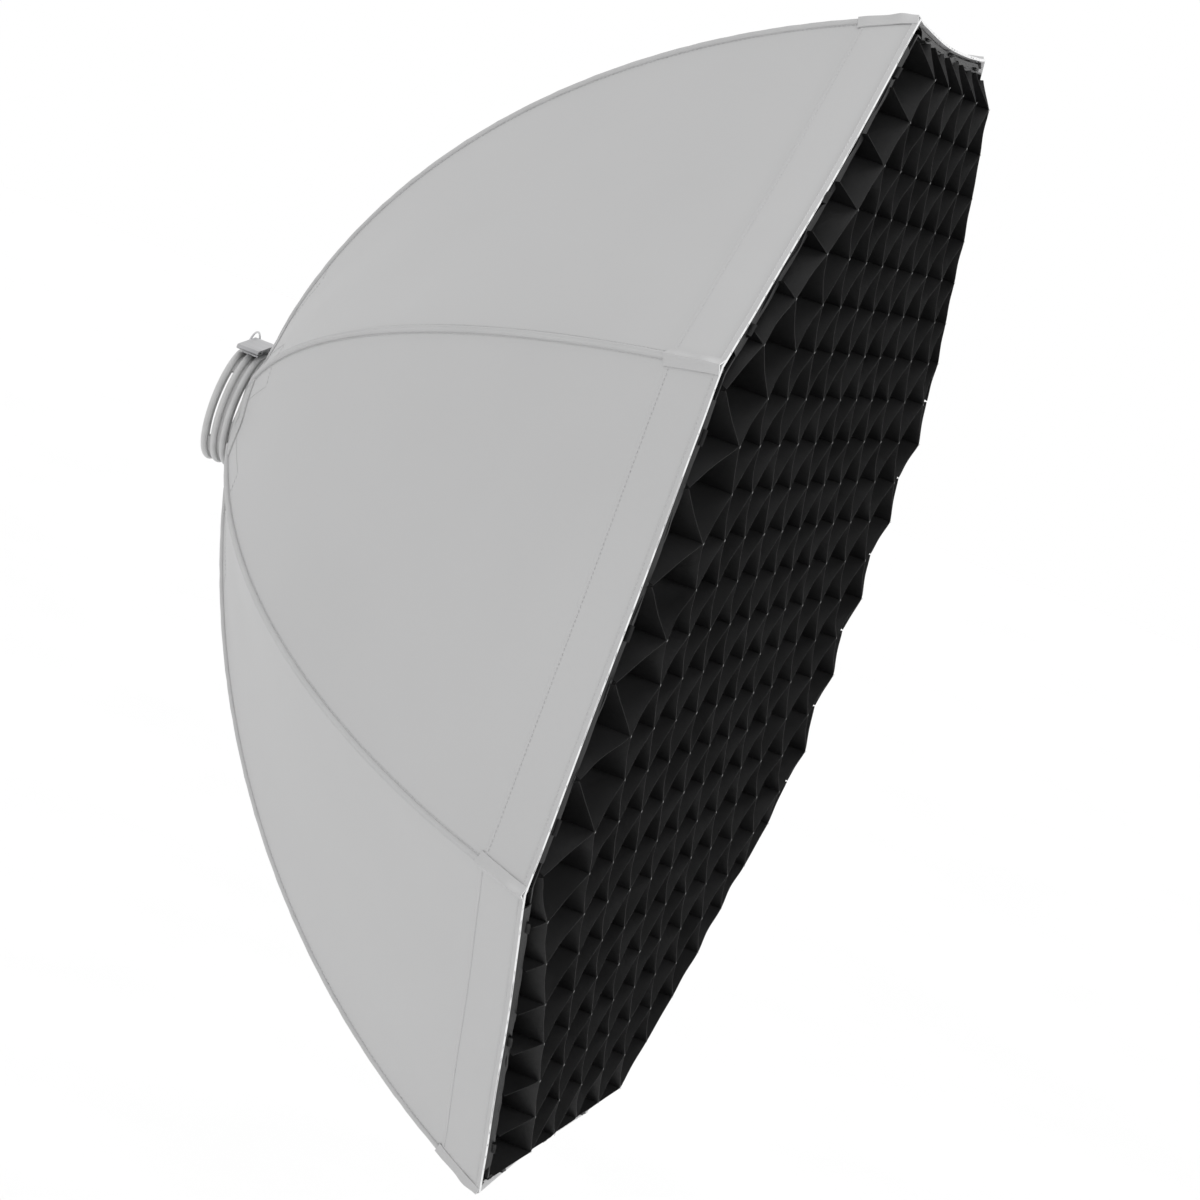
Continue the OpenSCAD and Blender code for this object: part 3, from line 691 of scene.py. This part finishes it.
# ---- Grid border ------------------------------------------------------------------------------------
# A band of soft black polyester round the egg-crate, hemmed along its front edge. The strips sewn to
# it pull it, so it puckers. The whole grid is limp, and hangs forward a little on its +X side.
border_bow = 0.874
border_front, grid_rear = -0.534, -0.507
far_side = (math.cos(math.radians(-5)), math.sin(math.radians(-5)))
far_hang, corner_reach = 0.030, 0.59
strips_proud, rise_share = 0.024, 0.06
grid_flat_r = 0.545


def border_r(y):
    """Distance from the axis to a flat of the border's outside."""
    return (bow_centre[0] + np.sqrt(border_bow ** 2 - (y - bow_centre[1]) ** 2)) * flat_share


def hang(x, z):
    """How far the soft grid hangs forward of its frame on the +X side."""
    return far_hang * (np.clip(x * far_side[0] + z * far_side[1], 0, None) / corner_reach) ** 3


def strip_front(x, z):
    """Where the strips' front edges are: flush with the border round the outside, and proud inside it."""
    inwards = 1 - far_out(x, z) / grid_flat_r
    rise = np.clip(inwards / rise_share, 0, 1)
    return border_front - strips_proud * rise - hang(x, z)


black_polyester = woven("black_polyester", (0.0045, 0.0045, 0.0047), (0.0085, 0.0085, 0.0088), (0.42, 0.55),
                        yarn=0.0008, weave=0.35, crinkle=0.2, patch=16)
cloth_glint = 0.24
black_polyester.node_tree.nodes["Principled BSDF"].inputs["Specular IOR Level"].default_value = cloth_glint
border_rows = np.array([0, 0.02, 0.035, 0.14, 0.155, 0.3, 0.45, 0.6, 0.75, 0.9, 1.0])
bpy.ops.object.select_all(action="DESELECT")
bpy.ops.mesh.primitive_cylinder_add(vertices=8, radius=1, depth=2, end_fill_type="NOTHING",
                                    rotation=(math.pi / 2, step / 2, 0))
border = settle(bpy.context.object, "grid_border_cloth")
edit(border)
pick_edges(border, lambda a, b: abs(a.y - b.y) > 1)
bpy.ops.mesh.subdivide(number_cuts=len(border_rows) - 2)
pick_edges(border, lambda a, b: abs(a.y - b.y) < 0.01)
bpy.ops.mesh.subdivide(number_cuts=55)
bpy.ops.mesh.select_all(action="SELECT")
bpy.ops.mesh.normals_make_consistent(inside=False)
bpy.ops.object.mode_set(mode="OBJECT")
flat = points_of(border)
row = row_number(flat, len(border_rows) - 1)
back = border_rows[row]
y = border_front + (grid_rear - border_front) * back
turn = np.arctan2(flat[:, 2], flat[:, 0])
number = np.round(turn / step).astype(int)
within = turn - number * step
slide = np.tan(within) / math.tan(step / 2)
hem = np.where((row > 1) & (row < 4), 0.0006, 0) + np.where(row <= 1, 0.0004, 0)
pucker = ((0.0013 * np.sin(slide * 15 + 2.1 * number + 5 * back)
           + 0.0009 * np.sin(slide * 31 - 3 * back + number)) * (1 - slide ** 2) * (1.1 - back))
out_r = border_r(y) + hem + pucker - 0.0022 * (1 - slide ** 2) * (1 - back)
x = out_r * np.cos(number * step) - out_r * math.tan(step / 2) * slide * np.sin(number * step)
z = out_r * np.sin(number * step) + out_r * math.tan(step / 2) * slide * np.cos(number * step)
edge_wave = 0.0012 * np.sin(slide * 21 + number * 1.7) * (1 - back) * (1 - slide ** 2)
move_points(border, np.stack([x, y - hang(x, z) + edge_wave, z], -1))
border_half_side = 0.226
map_cloth(border, np.stack([slide * border_half_side, y], -1))
border.data.materials.append(black_polyester)
thicken(border, 0.0018)
smooth(border, 40)
fit(border, "grid", "grid_fabric", "grid_border")

# ---- Grid flaps -------------------------------------------------------------------------------------
# Hook-faced flaps sewn to the border, one to each side. They fold over the gap behind the border and
# press on the loop tape inside the lip, which is all that holds the grid on.
flap_profile = [(-0.5300, -0.0138), (-0.5302, -0.0085), (-0.5295, -0.0052), (-0.5275, -0.0042),
                (-0.5180, -0.0041), (-0.5075, -0.0041)]
grid_flaps = inside_bands("grid_hook_flaps", flap_profile, reach=0.88, columns=40, thickness=0.0011)
grid_flaps.data.materials.append(black_polyester)
fit(grid_flaps, "grid", "hook_and_loop", "grid_flaps")

# ---- Grid strips ------------------------------------------------------------------------------------
# Two families of black polyester strips cross at 82 degrees, half-lapped and tacked where they meet,
# with their ends sewn to the border. The cloth is limp, so each cell's walls bow a little.
cell_w, cell_h = 0.098, 0.085
strips_each_way = 9
strip_turn = math.atan2(cell_h, cell_w)
crossing = math.hypot(cell_w / 2, cell_h / 2)
strip_gap = cell_w * cell_h / 2 / crossing
strip_t = 0.0007
strip_rows = np.array([0, 0.04, 0.2, 0.4, 0.6, 0.8, 1.0])
# The strips' cut edges get their own frayed grain and a tone about twice as light as the faces: a painted
# highlight along the front edges.
cut_edge_painted_highlight = mottled("cut_edge_painted_highlight", (0.008, 0.008, 0.008), (0.016, 0.016, 0.016), (0.45, 0.6), patch=300,
                   grain=3000, bump=0.3)
edge_glint = 0.03
cut_edge_painted_highlight.node_tree.nodes["Principled BSDF"].inputs["Specular IOR Level"].default_value = edge_glint
limp = np.random.default_rng(11)
bow_size, curl_size, far_cells = 0.0009, 0.0005, 30


def ends_of(direction, offset, flat_r):
    """How far a straight strip runs each way before it meets an octagon with these flats."""
    low, high = -2.0, 2.0
    for k in gores:
        out = np.array([math.cos(k * step), math.sin(k * step)])
        pace, start = out @ direction, out @ offset
        if abs(pace) > 1e-9:
            reach = (flat_r - start) / pace
            low, high = (low, min(high, reach)) if pace > 0 else (max(low, reach), high)
    return low, high


def strip_family(name, tilt, lean):
    """One family of strips, joined as one piece. Returns it with the strips' whole length."""
    direction = np.array([math.cos(tilt), math.sin(tilt)])
    normal = np.array([-math.sin(tilt), math.cos(tilt)])
    inner = {b: float(border_r(border_front + (grid_rear - border_front) * b)) - 0.0025 for b in strip_rows}
    strips, whole = [], 0.0
    for i in range(-strips_each_way, strips_each_way + 1):
        offset = normal * i * strip_gap
        start, end = ends_of(direction, offset, inner[0])
        if end - start < 0.03:
            continue
        whole += end - start
        columns = max(4, round((end - start) / crossing * 10))
        strip = square_patch(f"{name}_{i}", columns, len(strip_rows) - 1)
        flat = points_of(strip)
        row = row_number(flat, len(strip_rows) - 1)
        back = strip_rows[row]
        limits = np.array([ends_of(direction, offset, inner[b]) for b in strip_rows])[row]
        along = np.clip(start + (flat[:, 0] + 1) / 2 * (end - start), limits[:, 0], limits[:, 1])
        cells = along / crossing + i * lean * math.cos(2 * strip_turn)
        cell = np.floor(cells).astype(int)
        share = cells - cell
        sway = limp.normal(0, 1, (2, 2 * far_cells))[:, cell + far_cells]
        bow = sway[0] * bow_size * np.sin(math.pi * share)
        curl = sway[1] * curl_size * np.sin(2 * math.pi * share)
        loose = 0.6 + 1.6 * back * (1 - back) + 0.8 * back
        sideways = (bow + curl) * loose
        x = offset[0] + direction[0] * along + normal[0] * sideways
        z = offset[1] + direction[1] * along + normal[1] * sideways
        scallop = 0.0010 * np.sin(math.pi * share) ** 2 * (1 - back) * (1 + 0.5 * sway[1])
        crossed = (np.arange(-far_cells, far_cells + 1) - i * lean * math.cos(2 * strip_turn)) * crossing
        knots = np.concatenate([[start], crossed[(crossed > start) & (crossed < end)], [end]])
        proud = strip_front(*(offset[:, None] + direction[:, None] * knots))
        front, rear = np.interp(along, knots, proud), grid_rear - hang(x, z)
        y = front + (rear - front) * back + scallop
        move_points(strip, np.stack([x, y, z], -1))
        map_cloth(strip, np.stack([along, y], -1))
        strips.append(strip)
    piece = join_up(strips, name)
    piece.data.materials.append(black_polyester)
    piece.data.materials.append(cut_edge_painted_highlight)
    thicken(piece, strip_t, 0, rim=1)
    smooth(piece, 50)
    return piece, whole


rising, rising_length = strip_family("rising_strips", strip_turn, 1)
falling, falling_length = strip_family("falling_strips", -strip_turn, -1)
fit(rising, "grid", "grid_fabric", "grid_strips_rising")
fit(falling, "grid", "grid_fabric", "grid_strips_falling")

# ---- Tacks and tabs ---------------------------------------------------------------------------------
# Where two strips cross, a bartack of pale grey thread holds them at the front. Small folded tabs are
# sewn to the border's front edge, to pull the grid off by.
tack_thread = mottled("tack_thread", (0.18, 0.18, 0.18), (0.30, 0.30, 0.30), (0.5, 0.6), patch=500,
                      grain=4000)
tack_rows, tacked_flat_r, tack_proud = [], 0.53, 0.0004
for i in range(-strips_each_way, strips_each_way + 1):
    for j in range(-strips_each_way, strips_each_way + 1):
        x, z = (i + j) * cell_w / 2, (i - j) * cell_h / 2
        if far_out(x, z) < tacked_flat_r:
            y = float(strip_front(x, z)) - tack_proud
            tack_rows.append([[x, y, z], [0.6, 0, 0.8 * (-1) ** (i + j)], [0, -1, 0]])
tacks = sew("crossing_tacks", [np.array(tack_rows, float).transpose(1, 0, 2)], tack_thread, "grid",
            "grid_fabric")
tabs, tab_half, tab_spots = [], 0.007, (-0.17, 0.0, 0.17)
for g in gores:
    for spot in tab_spots:
        tab = square_patch(f"tab_{g}_{spot:+.2f}", 8, 10)
        flat = points_of(tab)
        fold = np.abs(flat[:, 1])
        y = border_front - 0.0035 + 0.0075 * fold
        out_r = (border_r(y) + 0.0002 + 0.0013 * np.clip(flat[:, 1] * 3, -1, 1)
                 + 0.0003 * np.sin(flat[:, 0] * 3 + g))
        aside = spot + flat[:, 0] * tab_half
        x = out_r * math.cos(g * step) - aside * math.sin(g * step)
        z = out_r * math.sin(g * step) + aside * math.cos(g * step)
        move_points(tab, np.stack([x, y - hang(x, z), z], -1))
        map_cloth(tab, flat[:, :2] * 0.012)
        tabs.append(tab)
pull_tabs = join_up(tabs, "grid_pull_tabs")
pull_tabs.data.materials.append(black_polyester)
thicken(pull_tabs, 0.0008, 0)
smooth(pull_tabs, 50)
fit(pull_tabs, "grid", "grid_fabric", "grid_tabs")

# ---- Floor, light and camera ------------------------------------------------------------------------
# A plain pale floor and a white surround, which lights softly from all round, with a broad key light
# from in front of the grid and above. The camera stands on the -X side, a little above the middle.
floor_z = -1.4
bpy.ops.object.select_all(action="DESELECT")
bpy.ops.mesh.primitive_plane_add(size=40, location=(0, 0, floor_z))
floor = settle(bpy.context.object, "floor")
floor_paint = mottled("floor_paint", (0.755, 0.755, 0.755), (0.765, 0.765, 0.765), (0.7, 0.8), patch=2)
floor.data.materials.append(floor_paint)

surround = bpy.data.worlds.new("surround")
surround.use_nodes = True
surround.node_tree.nodes["Background"].inputs["Color"].default_value = (1, 1, 1, 1)
surround.node_tree.nodes["Background"].inputs["Strength"].default_value = 1.0
bpy.context.scene.world = surround
lamp = bpy.data.lights.new("key", "SUN")
lamp.energy, lamp.angle = 3.0, math.radians(15)
key_shines_along = Vector((0.20, 0.92, -0.33))
key = place_in_scene("key", lamp)
key.rotation_euler = key_shines_along.to_track_quat("-Z", "Y").to_euler()
bpy.context.scene.view_settings.view_transform = "Standard"

camera = place_in_scene("camera", bpy.data.cameras.new("camera"))
camera.data.lens, camera.data.sensor_width = 133.438, 36
camera.location = (-4.07095, -1.13938, 0.42218)
camera_faces_away_from = Vector((-0.977909, -0.176279, 0.112335))
camera_roll = Quaternion((0, 0, 1), math.radians(20.4766))
camera.rotation_mode = "QUATERNION"
camera.rotation_quaternion = camera_faces_away_from.to_track_quat("Z", "Y") @ camera_roll
bpy.context.scene.camera = camera
